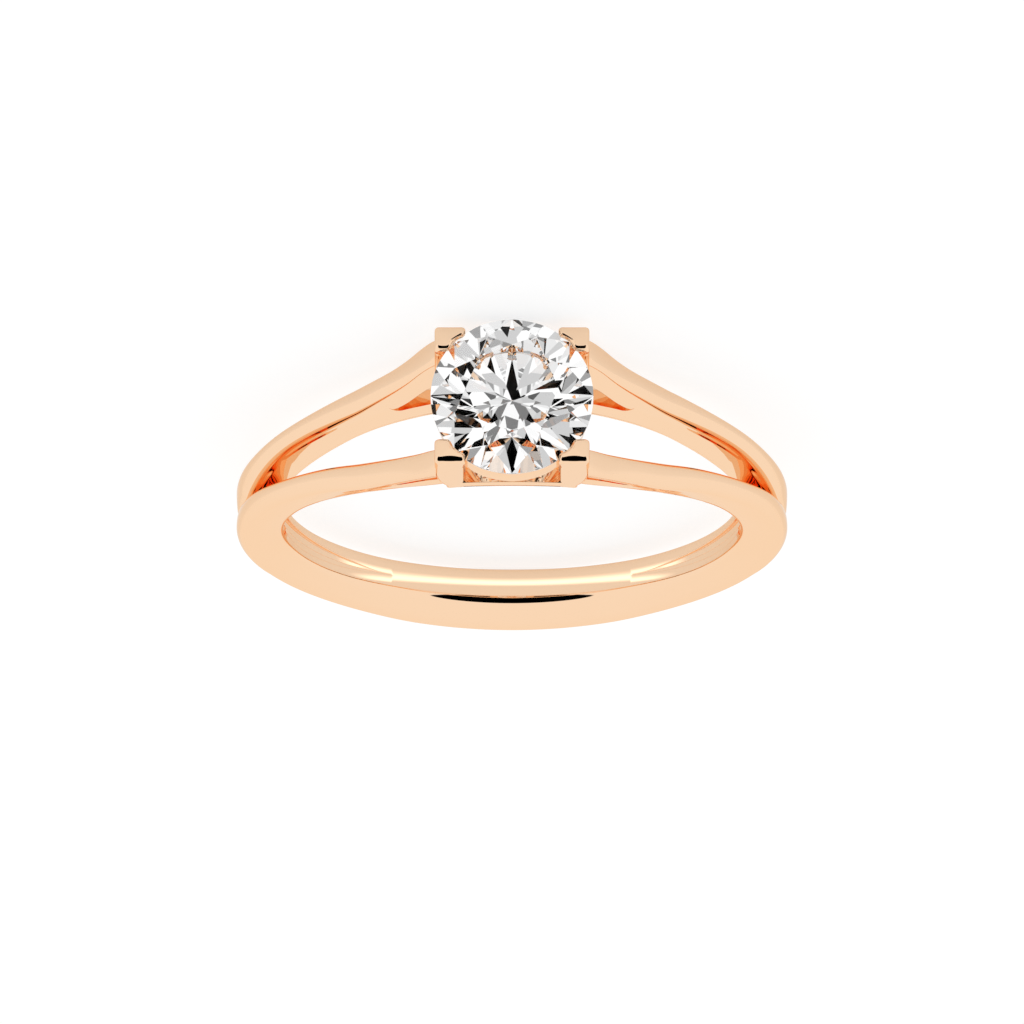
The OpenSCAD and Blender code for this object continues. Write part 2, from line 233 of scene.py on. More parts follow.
# How the wires' section changes from the base (0 degrees) to the prongs, as shares of named sizes.
# flat: inner flat's edge; gap: half gap; wide: outer edge; inner: inner top edge; crest: its place;
# dome: outer side of the crown; dip: inner side; groove: height of the crease; rise: arm's rise
wireColumns = ("angle", "flat", "gap", "wide", "inner", "crest", "dome", "dip", "groove", "rise")
wireShape = np.array([
    (0, 0, 0, -1, 0, 0.05, 0.13, 0.01, 0.4, 0),
    (20, 0, 0, -0.78, 0, 0.1, 0.13, 0.01, 0.4, 0),
    (34, 0, 0.02, -0.37, 0, 0.2, 0.13, 0.01, 0.4, 0),
    (45, 0, 0.15, -0.16, 0, 0.4, 0.13, 0.01, 0.4, 0),
    (64, 0, 0.3, 0, 0, 0.7, 0.14, 0.02, 0.4, 0),
    (75, 0.03, 0.32, 0.03, 0, 0.95, 0.15, 0.03, 0.45, 0),
    (90, 0.18, 0.36, 0.08, 0, 1.2, 0.18, 0.06, 0.5, 0),
    (97, 0.26, 0.38, 0.1, 0.01, 1.15, 0.21, 0.24, 0.6, 0),
    (110, 0.43, 0.4, 0.15, 0.17, 1, 0.3, 0.32, 0.6, 0),
    (120, 0.54, 0.45, 0.23, 0.3, 1, 0.34, 0.35, 0.6, 0),
    (130, 0.67, 0.58, 0.33, 0.4, 1, 0.33, 0.35, 0.6, 0),
    (138, 0.77, 0.73, 0.44, 0.48, 1, 0.28, 0.32, 0.6, 0),
    (146, 0.86, 0.85, 0.57, 0.6, 1, 0.22, 0.24, 0.6, 0.02),
    (155, 0.96, 0.95, 0.68, 0.76, 1, 0.16, 0.18, 0.64, 0.26),
    (160, 1, 1, 0.78, 0.86, 1, 0.13, 0.15, 0.8, 0.5),
    (163, 1, 1, 0.86, 0.94, 1, 0.11, 0.13, 1.04, 0.72),
    (166.5, 1, 1, 0.94, 1, 1, 0.1, 0.12, 1.35, 1),
])


def eased(x, xs, ys):
    # Cubic through the rows whose slope at a row is that of the chord between its neighbours
    slope = np.empty(len(xs))
    slope[1:-1] = (ys[2:] - ys[:-2]) / (xs[2:] - xs[:-2])
    slope[0] = 0
    slope[-1] = (ys[-1] - ys[-2]) / (xs[-1] - xs[-2])
    i = np.clip(np.searchsorted(xs, x, side="right") - 1, 0, len(xs) - 2)
    step = xs[i + 1] - xs[i]
    t = np.clip((x - xs[i]) / step, 0, 1)
    rise = ys[i + 1] - ys[i]
    d0, d1 = slope[i] * step, slope[i + 1] * step
    return ys[i] + d0 * t + (3 * rise - 2 * d0 - d1) * t**2 + (d0 + d1 - 2 * rise) * t**3


def wireSizes(angle):
    # Named sizes of the section at each angle, in millimetres: a named size times its share in wireShape
    at = {k: eased(angle, wireShape[:, 0], wireShape[:, c]) for c, k in enumerate(wireColumns)}
    railOut = split["railGap"] / 2 + split["railWide"]
    flat = band["flatWidth"] / 2 + at["flat"] * (railOut - band["flatWidth"] / 2)
    waist = band["waistWidth"] / 2
    wide = waist + np.where(at["wide"] < 0, -at["wide"] * (band["baseWidth"] / 2 - waist),
                            at["wide"] * (split["armWidth"] / 2 - waist))
    inner = np.maximum(0, split["armGap"] / 2 * at["inner"])
    gap = np.maximum(0, split["railGap"] / 2 * at["gap"])
    top = holeR + band["thick"] + np.maximum(0, at["rise"]) * (split["armHeight"] - band["thick"])
    dome, dip = band["thick"] * at["dome"], band["thick"] * at["dip"]
    kneeShare = split["railThick"] / (top - dome - holeR) * np.clip(1 - 2 * at["rise"], 0, 1)
    return {
        "flat": flat, "gap": gap, "wide": wide, "inner": inner, "top": top, "dome": dome, "dip": dip,
        "kneeR": railR + 0 * flat,
        "kneeF": flat + (wide - flat) * kneeShare,
        "grooveF": gap + (inner - gap) * (0.5 - 0.2 * at["rise"]),
        "grooveR": holeR + band["thick"] * at["groove"],
        "crest": (inner + wide) / 2 * at["crest"],
    }


def roundedPath(corners, radii, steps=4):
    # An open path through corners, each rounded by the curve (1-t)^2 A + 2t(1-t) P + t^2 C, where A and
    # C lie the corner's radius before and after it. corners: list of (f, r) arrays; radii: one per
    # inner corner. A radius is held under 0.45 of the shorter side beside its corner
    pts = [np.stack(np.broadcast_arrays(*c), axis=-1) for c in corners]
    out = [pts[0][:, None]]
    t = np.linspace(0, 1, steps + 1)[None, :, None]
    for k, radius in zip(range(1, len(pts) - 1), radii):
        before, after = pts[k - 1] - pts[k], pts[k + 1] - pts[k]
        lb, la = np.linalg.norm(before, axis=1), np.linalg.norm(after, axis=1)
        d = np.minimum(radius, 0.45 * np.minimum(lb, la))
        a = pts[k] + before * (d / np.maximum(lb, 1e-9))[:, None]
        c = pts[k] + after * (d / np.maximum(la, 1e-9))[:, None]
        out.append((1 - t) ** 2 * a[:, None] + 2 * t * (1 - t) * pts[k][:, None] + t**2 * c[:, None])
    out.append(pts[-1][:, None])
    return np.concatenate(out, axis=1)


armEndU = head["long"] / 2 - split["shyOfProng"]
armEnd = 180 - math.degrees(math.asin(armEndU / (holeR + split["armHeight"])))
railTop = railR + split["windowSill"]
leastHeight = 0.02   # a side's share of its height is never worked out over less than this


def outerSide(s, r):
    # Outer side at radius r: straight to the knee, then straight to the shoulder
    share = (r - s["kneeR"]) / np.maximum(s["top"] - s["dome"] - s["kneeR"], leastHeight)
    low = (r - holeR) / (s["kneeR"] - holeR)
    return np.where(r < s["kneeR"], s["flat"] + (s["kneeF"] - s["flat"]) * low,
                    s["kneeF"] + (s["wide"] - s["kneeF"]) * share)


def windowOpen(angle):
    # Share of the window's height: a quarter ellipse from its tip
    t = np.clip((angle - split["tipAngle"]) / (split["fullAngle"] - split["tipAngle"]), 0, 1)
    return np.sqrt(1 - (1 - t) ** 2)


def windowCeiling(angle, upright):
    # Radius of the arm's underside, which lies the arm's thickness below its crest, measured from base to
    # head. It is read at the section's own angle, or at the crest's where the section stands upright
    b = np.linspace(150, 167.5, 400)   # from before the window's tip to past the arm's end
    crest = wireSizes(b)["top"]
    grown = np.clip((b - split["deeperFrom"]) / split["deeperFor"], 0, 1)
    thick = split["armThick"] + split["armDeeper"] * grown
    u, n = crest * np.sin(np.radians(b)), -crest * np.cos(np.radians(b)) - thick
    below = 180 - np.degrees(np.arctan2(u, n))
    byAngle = np.argsort(below)
    radial = np.interp(angle, below[byAngle], np.hypot(u, n)[byAngle])
    plumb = np.interp(angle, b, np.hypot(u, n))
    return radial + upright * (plumb - radial)


def grooveFloor(s):
    # Radius of the floor of the shallow groove inside: a soft step that fades in as the groove widens
    return holeR + band["grooveDeep"] * softStep(s["gap"] / band["grooveFade"])


def lipSide(angle, s):
    # Inner top edge, brought to the middle where the wires are one
    return s["inner"] * np.clip((angle - split["partFrom"]) / split["lipOver"], 0, 1)


def wallSide(angle, s, r):
    # A wire's inner side above the groove's floor: on the middle plane where the wires are one, then
    # opening as a wedge with soft ends. Straight up to the crease, then straight to the top edge
    opened = softStep((angle - split["partFrom"]) / (split["partFull"] - split["partFrom"]))
    lip = lipSide(angle, s)
    low = s["gap"] * opened
    crease = np.maximum(s["grooveF"] * opened, split["creaseOut"] * lip)
    below = low + (crease - low) * (r - holeR) / np.maximum(s["grooveR"] - holeR, leastHeight)
    overCrease = (r - s["grooveR"]) / np.maximum(s["top"] - s["dip"] - s["grooveR"], leastHeight)
    return np.where(r < s["grooveR"], below, crease + (lip - crease) * overCrease)


def armSide(angle, s, r):
    # The arm's inner side: past the window's tip it turns upright by a soft step, and flares at the top
    upright = s["inner"] - split["armFlare"] * (s["top"] - s["dip"] - r)
    wall = wallSide(angle, s, r)
    return wall + (upright - wall) * softStep((angle - split["tipAngle"]) / split["armTurn"])


def middleAt(angle):
    # Radius where the section's two halves meet: a soft step up to the window's tip
    t = (angle - split["middleFrom"]) / (split["tipAngle"] - split["middleFrom"])
    return holeR + split["middleHeight"] + (split["tipHeight"] - split["middleHeight"]) * softStep(t)


intoWindow = 0.3   # the window's faces begin this share of the wire's width in from its sides


def lowerPath(angle, s):
    # The half of the section next to the finger hole: a rounded path down the inner side, along the
    # groove and the inner flat, and up the outer side
    isOpen = windowOpen(angle)
    middle = middleAt(angle)
    lo = middle + (railTop - middle) * isOpen
    floor = grooveFloor(s)
    crease = np.clip(s["grooveR"], floor + 0.01, lo)
    halfway = (lo + crease) / 2
    fi, fo = wallSide(angle, s, lo), outerSide(s, lo)
    into = intoWindow * isOpen * (fo - fi)
    creaseRound = band["creaseRound"]
    return roundedPath([
        (fi + into, lo), (fi, lo), (wallSide(angle, s, halfway), halfway),
        (wallSide(angle, s, crease), crease), (wallSide(angle, s, floor), floor), (s["gap"], floor),
        (s["gap"], holeR), (s["flat"], holeR), (s["kneeF"], s["kneeR"]), (fo, lo), (fo - into, lo),
    ], [
        split["railRound"] * isOpen, creaseRound / 2, creaseRound, creaseRound / 2,
        band["grooveRound"], band["rimRound"], band["innerRound"], band["kneeRound"],
        split["edgeRound"] * isOpen,
    ])


def upperPath(angle, s, upright):
    # The half of the section with the crown: straight sides, and a quarter ellipse on each side of the
    # crest, at f = crest + half cos t and r = top - drop (1 - sin t)
    isOpen = windowOpen(angle)
    middle = middleAt(angle)
    hi = middle + (windowCeiling(angle, upright) - middle) * isOpen
    fi, fo = armSide(angle, s, hi), outerSide(s, hi)
    into = intoWindow * isOpen * (fo - fi)
    edgeRound = split["edgeRound"] * isOpen
    shoulder, lip = s["top"] - s["dome"], s["top"] - s["dip"]
    outer = roundedPath([(fo - into, hi), (fo, hi), (s["wide"], shoulder)], [edgeRound])
    outwards, inwards = np.linspace(6, 90, 15), np.linspace(84, 6, 13)
    t = np.radians(np.concatenate([outwards, inwards]))[None, :]
    isOut = (np.arange(t.size) < len(outwards))[None, :]
    lipF = lipSide(angle, s)
    half = np.where(isOut, (s["wide"] - s["crest"])[:, None], (lipF - s["crest"])[:, None])
    drop = np.where(isOut, s["dome"][:, None], s["dip"][:, None])
    crownF = s["crest"][:, None] + half * np.cos(t)
    crown = np.stack([crownF, s["top"][:, None] - drop * (1 - np.sin(t))], axis=-1)
    crease = np.clip(s["grooveR"], hi, lip)
    above = (lip + crease) / 2
    inner = roundedPath([
        (lipF, lip), (armSide(angle, s, above), above), (armSide(angle, s, crease), crease),
        (fi, hi), (fi + into, hi),
    ], [band["lipRound"], split["edgeRound"], edgeRound])
    return np.concatenate([outer, crown, inner], axis=1)


def turned(path, angle, upright, crest, side, way):
    # A section's points at its station: u = r sin a and n = -r cos a in the ring's radial plane. Upright
    # moves u towards the crest's, and n is then what keeps the radius. side and way mirror f and u
    r, a = path[..., 1], np.radians(angle)[:, None]
    radial = r * np.sin(a)
    u = radial + upright[:, None] * ((crest * np.sin(np.radians(angle)))[:, None] - radial)
    n = np.where(upright[:, None] > 0, np.sqrt(np.maximum(r * r - u * u, 0)), -r * np.cos(a))
    return place(way * u, n, side * path[..., 0])


# How many sections the wires have along each stretch
sections = {"toWindow": 190, "parting": 14, "windowTip": 16, "arm": 22, "rail": 30}


def wireStations():
    # Angles of the sections, close together where the wires part and at the window's tip, where they
    # follow a square. Gives them and the row of the window's tip
    partFor = 6   # degrees
    parting = split["partFrom"] + partFor * np.linspace(0.001, 1, sections["parting"]) ** 2
    plain = np.sort(np.concatenate([np.linspace(0, split["tipAngle"], sections["toWindow"]), parting]))
    opening = np.linspace(0, 1, sections["windowTip"])[1:] ** 2
    tip = split["tipAngle"] + (split["fullAngle"] - split["tipAngle"]) * opening
    arm = np.linspace(split["fullAngle"], armEnd, sections["arm"])[1:]
    return np.concatenate([plain, tip, arm]), len(plain) - 1


def softened(s, angle):
    # Takes the last unevenness out of the sizes along the wire: a running mean, weighted by a raised
    # cosine, over 21 steps of a quarter of a degree
    even = np.arange(-20, angle[-1] + 0.001, 0.25)
    weights = np.hanning(21)
    weights /= weights.sum()
    beyond = np.arange(1, 11)   # half of the steps, carried on past the wire's end
    out = {}
    for key, value in s.items():
        fine = np.interp(np.abs(even), angle, value)
        padded = np.concatenate([fine, fine[-1] + (fine[-1] - fine[-2]) * beyond])
        mean = np.convolve(padded, weights, mode="same")[:len(even)]
        out[key] = np.interp(angle, even, mean)
    return out


def makeWires():
    # Both wires, each carried round the ring as two halves of its section, above and below the window
    angle, tipRow = wireStations()
    s = softened(wireSizes(angle), angle)
    s["gap"] = np.where(s["gap"] < 0.01, 0, s["gap"])   # no slivers at the groove's point
    upright = np.clip((angle - split["tipAngle"]) / (armEnd - split["tipAngle"]), 0, 1) ** 1.5
    flatHere = np.zeros(len(angle))
    upper = upperPath(angle, s, upright)
    lower = lowerPath(angle, s)
    # under the head the rails go on with the section of the arms' end
    railAngle = np.linspace(armEnd, 180, sections["rail"])[1:]
    railSizes = {key: np.full(len(railAngle), value[-1]) for key, value in s.items()}
    railPath = lowerPath(railAngle, railSizes)
    flatThere = np.zeros(len(railAngle))
    wires = []
    for side in (1, -1):
        grids, caps, arms, rails = [], [], {}, {}
        for way in (1, -1):
            arms[way] = turned(upper, angle, upright, s["top"], side, way)
            rails[way] = np.concatenate([
                turned(lower, angle, flatHere, s["top"], side, way),
                turned(railPath, railAngle, flatThere, railSizes["top"], side, way),
            ])
            grids.append((arms[way][tipRow:, [-1, 0]], False))    # the window's ceiling
            grids.append((rails[way][tipRow:, [-1, 0]], False))   # and its floor
            caps.append(arms[way][-1])
        for half in (arms, rails):
            grids.append((np.concatenate([half[-1][:0:-1], half[1]]), False))
        wires.append(makePiece("wire", grids, caps))
    return weldMiddle(joinPieces("wires", wires))


def weldMiddle(piece):
    # Where the wires are one band, the two faces on the ring's middle plane go, and the halves are welded
    mesh = bmesh.new()
    mesh.from_mesh(piece.data)
    across = Vector((0, math.sin(restTilt), math.cos(restTilt)))
    middle = Vector(place(0, 0, 0).tolist())
    inside = [face for face in mesh.faces
              if all(abs((v.co - middle).dot(across)) < weldReach / 2 for v in face.verts)]
    bmesh.ops.delete(mesh, geom=inside, context="FACES")
    bmesh.ops.remove_doubles(mesh, verts=mesh.verts, dist=weldReach)
    bmesh.ops.recalc_face_normals(mesh, faces=mesh.faces)
    mesh.to_mesh(piece.data)
    mesh.free()
    piece.data.set_sharp_from_angle(angle=math.radians(sharpFrom))
    return piece


def prongOutline(n, inset):
    # Plan of a corner prong at height n: a rounded path with a square outer corner and, towards the
    # stone, an arc about its axis. Inset is the share of the soft top edge, which is widest at the front
    down = prongN - n
    t = min(0.995, max(0, (holeR + head["footHeight"] - n) / head["footHeight"]))
    tuck = 1 - math.sqrt(1 - t * t)
    tipInset = inset * head["tipInset"]
    uo = head["long"] / 2 - head["footTuck"] * tuck - tipInset
    fo = head["wide"] / 2 - lean * down - inset * head["frontInset"]
    ui = head["long"] / 2 - head["leg"] + tipInset
    fi = head["wide"] / 2 - head["legFinger"] - lean * down + tipInset
    z = n - girdleN
    slope = math.tan(math.radians(stone["crown"] if z > 0 else stone["pavilion"]))
    stoneThere = stoneR + head["stoneClear"] - max(0, abs(z) - stone["girdle"] / 2) / slope
    clawThere = stoneR - head["claw"] - lean * down * (down > head["clawBelow"])
    hollow = max(clawThere, stoneThere) + inset * head["hollowInset"]
    first, last = math.acos(min(1, ui / hollow)), math.asin(min(1, fi / hollow))
    arc = []
    for share, deeper in ((0, 0), (0.35, head["hollowDent"]), (0.65, head["hollowDent"]), (1, 0)):
        turn = first + (last - first) * share
        arc.append(((hollow + deeper) * math.cos(turn), (hollow + deeper) * math.sin(turn)))
    dent = inset * head["frontDent"]   # the soft front edge is widest at its middle
    corners = [(uo, (fi + fo) / 2), (uo, fo), ((uo + ui) / 2, fo - dent), (ui, fo), *arc, (uo, fi),
               (uo, (fi + fo) / 2)]
    corner, leg = head["cornerRound"] + head["footRound"] * t, head["legRound"]
    hollowRound = head["hollowRound"]
    path = roundedPath([(np.array([u]), np.array([f])) for u, f in corners],
                       [corner, head["dentRound"], leg, leg, hollowRound, hollowRound, leg, leg], 6)
    return path[0, :-1]


def makeProng(uSide, fSide):
    # Plans stacked up to the tip, whose soft edge is a quarter circle: height tip (1 - sin a) below the
    # top at inset 1 - cos a. No plan goes below the finger hole, at height sqrt(R^2 - u^2)
    tip = head["tipRound"]
    # heights of the plans over the finger hole, and from the girdle
    overHole = (-0.25, -0.1, 0.1, 0.35, 0.65, 0.95, 1.35, 1.75, 2.15, 2.55, 2.95, 3.35, 3.65)
    atGirdle = (-0.36, -0.22, -0.15, -0.1, -0.065, -0.03, 0.03, 0.065, 0.1, 0.16, 0.24)
    heights = [holeR + h for h in overHole] + [girdleN + h for h in atGirdle]
    levels = [(n, 0) for n in heights if n < prongN - tip - 0.02]
    for a in np.radians(np.linspace(0, 90, 13)):
        levels.append((prongN - tip * (1 - math.sin(a)), 1 - math.cos(a)))
    rings = []
    for k, (n, inset) in enumerate(levels):
        plan = prongOutline(n, inset)
        hole = np.sqrt(holeR**2 - plan[:, 0] ** 2)
        height = hole if k == 0 else np.maximum(n, hole + 0.02 * k)   # each plan over the one before
        rings.append(np.concatenate([plan, height[:, None]], axis=1))
    # the flat top closes in rings towards its middle, and rises a hair
    top = rings[-1]
    centre = np.array([head["long"] / 2, head["wide"] / 2]) - head["topMiddle"]
    for share in (0.85, 0.65, 0.4, 0.15):
        ring = top.copy()
        ring[:, :2] = centre + (top[:, :2] - centre) * share
        ring[:, 2] = prongN + head["topRise"] * (1 - share)
        rings.append(ring)
    rings = np.array(rings)
    points = place(uSide * rings[..., 0], rings[..., 2], fSide * rings[..., 1])
    return makePiece("prong", [(points, True)], [points[0], points[-1]])


def makeGallery():
    # A rounded profile turned about the stone's axis: x = r cos a and y = r sin a at each height
    out, wall, tuck = head["galleryWide"] / 2, head["galleryWall"], head["galleryTuck"]
    low = holeR + head["galleryHeight"]
    cone = math.tan(math.radians(stone["pavilion"]))
    seat = girdleN - stone["girdle"] / 2 - head["galleryClear"]
    top = seat - (stoneR - out) * cone
    inTop = seat - (stoneR - out + wall) * cone
    start = (out - wall / 2 - tuck, low)
    corners = [start, (out - tuck, low), (out, top), (out - wall, inTop), (out - wall - tuck, low), start]
    one = [(np.array([r]), np.array([n])) for r, n in corners]
    soft, sharp = head["galleryRound"], head["seatRound"]
    profile = roundedPath(one, [soft, sharp, sharp, soft], 6)[0]
    a = np.linspace(0, 2 * math.pi, 193)[:, None]
    r, n = profile[None, :-1, 0], profile[None, :-1, 1]
    points = place(r * np.cos(a), n + 0 * a, r * np.sin(a))
    return makePiece("gallery", [(points, True)])


def makeBar(side):
    # Bar under the head, flush with the prongs' leaning walls: a rounded section carried round the ring,
    # u = r sin a and n = -r cos a
    shy = head["barShy"]
    a = np.radians(np.linspace(180 - head["barReach"], 180 + head["barReach"], 40))
    low, high = holeR - shy, railR + head["barRise"]
    inside = split["railGap"] / 2 - shy + 0 * a
    wallLow, wallHigh = (head["wide"] / 2 - lean * (prongN + r * np.cos(a)) - shy for r in (low, high))
    start = (inside, (low + high) / 2 + 0 * a)
    path = roundedPath([start, (inside, low + 0 * a), (wallLow, low + 0 * a), (wallHigh, high + 0 * a),
                        (inside, high + 0 * a), start], head["barRounds"])[:, :-1]
    r = path[..., 1]
    points = place(r * np.sin(a)[:, None], -r * np.cos(a)[:, None], side * path[..., 0])
    return makePiece("bar", [(points, True)], [points[0], points[-1]])


def makeCrossBar(way):
    # Bar across at the head's side, from rail to rail: a rounded section between the finger hole and the
    # rails' top, carried along f, with n = sqrt(r^2 - u^2)
    footU = head["long"] / 2 - head["footTuck"]
    half = split["railGap"] / 2 + head["crossInto"]
    f = np.linspace(-half, half, 12)
    zero = 0 * f
    u0, u1 = footU - split["railWide"], footU - head["crossShy"]
    start = (zero + (u0 + u1) / 2, zero)
    path = roundedPath([start, (zero + u0, zero), (zero + u0, zero + 1), (zero + u1, zero + 1),
                        (zero + u1, zero), start], head["crossRounds"])[:, :-1]
    u = path[..., 0]
    r = holeR + path[..., 1] * (railR - head["crossLow"] - holeR)
    points = place(way * u, np.sqrt(r * r - u * u), f[:, None] + 0 * u)
    return makePiece("crossBar", [(points, True)], [points[0], points[-1]])


def halfTips():
    # Where the half facets' tips lie: radius and height of the upper ones, and of the lower ones
    c = math.cos(math.radians(22.5))
    upR = (tableR * c + stoneR) / 2
    upZ = stone["girdle"] / 2 + (stoneR - upR * c) * math.tan(math.radians(stone["crown"]))
    lowR = stoneR * stone["lowerHalf"]
    lowZ = -stone["girdle"] / 2 - (stoneR - lowR * c) * math.tan(math.radians(stone["pavilion"]))
    return upR, upZ, lowR, lowZ


def ringOf(r, z, count, start):
    # Points at equal turns about the stone's axis: x = r cos a, y = r sin a
    a = np.radians(start + np.arange(count) * 360 / count)
    return np.stack([r * np.cos(a), r * np.sin(a), np.full(count, z)], axis=-1)


def girdleEdge(phi, tipR, tipZ, edgeZ):
    # Height at which a half facet's plane cuts the stone's cylinder, at phi from 0 to 22.5 degrees: the
    # plane goes through the tip at 22.5 and the girdle at 0, and is steepest half way between them
    mid = math.radians(11.25)
    slope = (tipZ - edgeZ) / ((tipR - stoneR) * math.cos(mid))
    return edgeZ + slope * stoneR * (np.cos(phi - mid) - math.cos(mid))


def makeStone():
    # Round brilliant: table, eight stars, eight mains and sixteen halves above the girdle, eight mains
    # and sixteen halves below, each one flat face. Its axis is n, and z is measured from the girdle
    starR, starZ, lowR, lowZ = halfTips()
    half = stone["girdle"] / 2
    per = 8   # girdle points for each half facet
    culet = -half - stoneR * math.tan(math.radians(stone["pavilion"]))
    phi = np.radians(np.arange(2 * per * 8) * 360 / (2 * per * 8))
    inHalf = np.mod(phi, math.radians(45))
    inHalf = np.where(inHalf > math.radians(22.5), math.radians(45) - inHalf, inHalf)
    x, y = stoneR * np.cos(phi), stoneR * np.sin(phi)
    edge = np.stack([x, y, girdleEdge(inHalf, starR, starZ, half)], axis=-1)
    foot = np.stack([x, y, girdleEdge(inHalf, lowR, lowZ, -half)], axis=-1)
    points = np.concatenate([ringOf(tableR, crownZ, 8, 0), ringOf(starR, starZ, 8, 22.5), edge, foot,
                             ringOf(lowR, lowZ, 8, 22.5), [[0, 0, culet]]])
    count = len(phi)
    tableAt, starAt, edgeAt = 0, 8, 16
    footAt, lowAt, culetAt = 16 + count, 16 + 2 * count, 24 + 2 * count
    faces = [[tableAt + i for i in range(8)]]
    for i in range(8):
        after, before = (i + 1) % 8, (i - 1) % 8
        g = 2 * per * i
        ring = [(g + k) % count for k in range(2 * per + 1)]
        faces.append([tableAt + i, starAt + i, tableAt + after])
        faces.append([tableAt + i, starAt + before, edgeAt + g, starAt + i])
        faces.append([starAt + i] + [edgeAt + k for k in ring[:per + 1]])
        faces.append([starAt + i] + [edgeAt + k for k in ring[per:]])
        faces.append([culetAt, lowAt + i, footAt + g, lowAt + before])
        faces.append([lowAt + i] + [footAt + k for k in ring[per::-1]])
        faces.append([lowAt + i] + [footAt + k for k in ring[:per - 1:-1]])
    facetCount = len(faces)
    for k in range(count):
        m = (k + 1) % count
        faces.append([edgeAt + k, footAt + k, footAt + m, edgeAt + m])
    world = place(points[:, 0], points[:, 2] + girdleN, points[:, 1])
    mesh = bpy.data.meshes.new("brilliant")
    mesh.from_pydata(world.tolist(), [], faces)
    bm = bmesh.new()
    bm.from_mesh(mesh)
    bmesh.ops.recalc_face_normals(bm, faces=bm.faces)
    bm.to_mesh(mesh)
    bm.free()
    mesh.materials.append(materials["diamond"])
    mesh.materials.append(materials["girdle"])
    index = np.zeros(len(faces), dtype=np.int32)
    index[facetCount:] = 1
    mesh.polygons.foreach_set("material_index", index)
    piece = bpy.data.objects.new("brilliant", mesh)
    bpy.context.scene.collection.objects.link(piece)
    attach(piece, "root")
    return piece


def fromHex(code):
    # sRGB hex to linear colour
    srgb = np.array([int(code[i:i + 2], 16) for i in (1, 3, 5)]) / 255
    linear = np.where(srgb <= 0.04045, srgb / 12.92, ((srgb + 0.055) / 1.055) ** 2.4)
    return (*linear.tolist(), 1)


def addNode(tree, kind, values=None, links=None, **own):
    # own: the node's properties; values: what its sockets are set to; links: outputs that feed its sockets
    node = tree.nodes.new(kind)
    for key, value in own.items():
        setattr(node, key, value)
    for socket, value in (values or {}).items():
        node.inputs[socket].default_value = value
    for socket, output in (links or {}).items():
        tree.links.new(output, node.inputs[socket])
    return node


def newMaterial(name):
    made = bpy.data.materials.new(name)
    made.use_nodes = True
    made.node_tree.nodes.clear()
    return made, made.node_tree


def roseGold():
    # Cast 14 carat rose gold, mirror polished: light bouncing between its faces turns deep orange
    made, tree = newMaterial("polishedRoseGold")
    where = addNode(tree, "ShaderNodeTexCoord")
    # faint clouding left by the polishing wheel, about 0.6 mm across
    cloud = addNode(tree, "ShaderNodeTexNoise", {"Scale": 1600, "Detail": 3},
                    {"Vector": where.outputs["Object"]})
    polish = addNode(tree, "ShaderNodeMapRange", {"To Min": 0.02, "To Max": 0.05},
                     {"Value": cloud.outputs["Fac"]})
    shader = addNode(tree, "ShaderNodeBsdfPrincipled", {
        "Base Color": fromHex("#fdd9b6"),
        "Metallic": 1.0,
        "Specular Tint": fromHex("#feefde"),   # keeps its colour where it is seen along its surface
    }, {"Roughness": polish.outputs["Result"]})
    addNode(tree, "ShaderNodeOutputMaterial", links={"Surface": shader.outputs["BSDF"]})
    return made


def diamond():
    # Colourless diamond with polished flat facets: strong refraction and total reflection inside
    made, tree = newMaterial("cutDiamond")
    shader = addNode(tree, "ShaderNodeBsdfPrincipled", {
        "Base Color": fromHex("#ffffff"),
        "Roughness": 0.0,
        "IOR": 2.417,
        "Transmission Weight": 1.0,
        "Specular Tint": fromHex("#303030"),   # a faint surface shine only: the dark facets stay dark
    })
    addNode(tree, "ShaderNodeOutputMaterial", links={"Surface": shader.outputs["BSDF"]})
    return made


def brutedGirdle():
    # The girdle is ground round and left slightly frosted, with a grain of about 0.1 mm
    made, tree = newMaterial("brutedGirdle")
    where = addNode(tree, "ShaderNodeTexCoord")
    grain = addNode(tree, "ShaderNodeTexNoise", {"Scale": 9000}, {"Vector": where.outputs["Object"]})
    frost = addNode(tree, "ShaderNodeMapRange", {"To Min": 0.15, "To Max": 0.3},
                    {"Value": grain.outputs["Fac"]})
    shader = addNode(tree, "ShaderNodeBsdfPrincipled", {
        "Base Color": fromHex("#ffffff"),
        "IOR": 2.417,
        "Transmission Weight": 1.0,
    }, {"Roughness": frost.outputs["Result"]})
    addNode(tree, "ShaderNodeOutputMaterial", links={"Surface": shader.outputs["BSDF"]})
    return made


